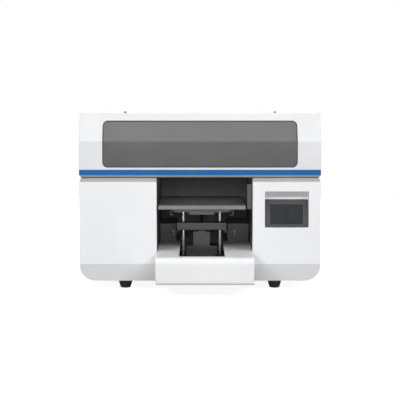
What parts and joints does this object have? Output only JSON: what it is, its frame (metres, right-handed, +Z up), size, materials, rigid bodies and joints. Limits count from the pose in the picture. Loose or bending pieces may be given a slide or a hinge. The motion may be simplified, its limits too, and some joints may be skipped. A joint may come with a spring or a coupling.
{
  "type": "flatbed uv printer",
  "caption": "Desktop flatbed UV printer with a hinged hood lid, a table that slides out and lifts, a print carriage on a belt-driven gantry and a touch screen.",
  "frame": {"origin": "on the floor, at the centre of the machine's footprint, the tray included", "axes": "+X to the machine's right seen from the front, +Y to the back, +Z up"},
  "size_m": [0.92, 0.895, 0.6817],
  "materials": {
    "white_shell": "satin moulded plastic, slightly textured",
    "white_sheet": "powder coated sheet steel",
    "blue_stripe": "gloss",
    "taupe_lip": "matt",
    "smoked_window": "smoked acrylic, polished",
    "dark_sheet": "matt black powder coat",
    "black_plastic": "matt moulded",
    "black_rubber": "matt",
    "black_anodised": "black anodised, brushed",
    "aluminium": "machined",
    "chrome_steel": "ground and polished",
    "zinc": "zinc plated",
    "screen_glass": "polished",
    "circuit_board": "solder resist",
    "brass": "turned"
  },
  "bodies": {
    "base": {"base_pan": "dark_sheet", "bay_liner": "dark_sheet", "bed_frame": "black_anodised", "cap_guide": "zinc", "deck_plate": "dark_sheet", "foot_front_left": "black_rubber", "foot_front_right": "black_rubber", "foot_rear_left": "black_rubber", "foot_rear_right": "black_rubber", "front_cover_left": "white_shell", "front_cover_right": "white_shell", "gantry_beam": "aluminium", "height_sensor": "black_anodised", "ink_rack": "black_plastic", "lid_hinge_left": "black_plastic", "lid_hinge_right": "black_plastic", "mainboard": "circuit_board", "power_inlet": "black_plastic", "power_supply": "zinc", "rear_cover": "white_sheet", "screen_bezel": "black_plastic", "screen_glass": "screen_glass", "side_panel_left": "white_sheet", "side_panel_right": "white_sheet", "table_rest_left": "dark_sheet", "table_rest_right": "dark_sheet", "tray": "white_shell", "upper_shell": "white_shell", "x_belt": "black_rubber", "x_motor": "black_plastic", "x_rail": "chrome_steel", "y_belt": "black_rubber", "y_motor": "black_plastic", "y_rail_left": "chrome_steel", "y_rail_right": "chrome_steel"},
    "lid": {"lid_shell": "white_shell", "lid_window": "smoked_window", "lid_stripe": "blue_stripe", "lid_lip": "taupe_lip"},
    "y_carriage": {"y_carriage_plate": "black_anodised", "y_bearing_left": "zinc", "y_bearing_right": "zinc", "lift_column": "black_anodised", "lift_crossbar": "black_anodised"},
    "platform": {"platform": "black_anodised", "platform_frame": "black_anodised", "lift_rod_left": "chrome_steel", "lift_rod_right": "chrome_steel", "lead_screw": "chrome_steel"},
    "lift_nut": {"lift_nut": "brass"},
    "y_drive_pulley": {"y_drive_pulley": "aluminium"},
    "y_idler_pulley": {"y_idler_pulley": "aluminium"},
    "print_carriage": {"carriage_frame": "aluminium", "carriage_cover": "white_shell", "print_head": "black_plastic", "uv_lamp": "aluminium"},
    "x_drive_pulley": {"x_drive_pulley": "aluminium"},
    "x_idler_pulley": {"x_idler_pulley": "aluminium"},
    "cap": {"cap": "black_rubber"},
    "rocker_switch": {"rocker_switch": "black_plastic"}
  },
  "joints": [
    {"name": "lid_hinge", "type": "hinge", "parent": "base", "child": "lid", "pos_m": [0, -0.1475, 0.6795], "axis": [-1, 0, 0], "range_deg": [0, 80]},
    {"name": "table_travel", "type": "slide", "parent": "base", "child": "y_carriage", "axis": [0, 1, 0], "range_m": [-0.19, 0.19]},
    {"name": "y_drive_spin", "type": "hinge", "parent": "base", "child": "y_drive_pulley", "pos_m": [0.0065, 0.3575, 0.084], "axis": [1, 0, 0], "continuous": true},
    {"name": "y_idler_spin", "type": "hinge", "parent": "base", "child": "y_idler_pulley", "pos_m": [0.0065, -0.3725, 0.084], "axis": [1, 0, 0], "continuous": true},
    {"name": "table_lift", "type": "slide", "parent": "y_carriage", "child": "platform", "axis": [0, 0, 1], "range_m": [0, 0.1]},
    {"name": "nut_spin", "type": "hinge", "parent": "y_carriage", "child": "lift_nut", "pos_m": [0.0065, -0.0325, 0.209], "axis": [0, 0, 1], "continuous": true},
    {"name": "carriage_travel", "type": "slide", "parent": "base", "child": "print_carriage", "axis": [1, 0, 0], "range_m": [-0.6, 0]},
    {"name": "x_drive_spin", "type": "hinge", "parent": "base", "child": "x_drive_pulley", "pos_m": [-0.425, 0.0775, 0.613], "axis": [0, 0, 1], "continuous": true},
    {"name": "x_idler_spin", "type": "hinge", "parent": "base", "child": "x_idler_pulley", "pos_m": [0.425, 0.0775, 0.613], "axis": [0, 0, 1], "continuous": true},
    {"name": "cap_lift", "type": "slide", "parent": "base", "child": "cap", "axis": [0, 0, -1], "range_m": [0, 0.008]},
    {"name": "power_rocker", "type": "hinge", "parent": "base", "child": "rocker_switch", "pos_m": [-0.288, 0.4375, 0.11], "axis": [1, 0, 0], "range_deg": [0, 14]}
  ],
  "couplings": [
    {"joint": "y_drive_spin", "follows": "table_travel", "rad_per_m": -110.5},
    {"joint": "y_idler_spin", "follows": "table_travel", "rad_per_m": -110.5},
    {"joint": "nut_spin", "follows": "table_lift", "rad_per_m": 628.32},
    {"joint": "x_drive_spin", "follows": "carriage_travel", "rad_per_m": 110.5},
    {"joint": "x_idler_spin", "follows": "carriage_travel", "rad_per_m": 110.5}
  ]
}
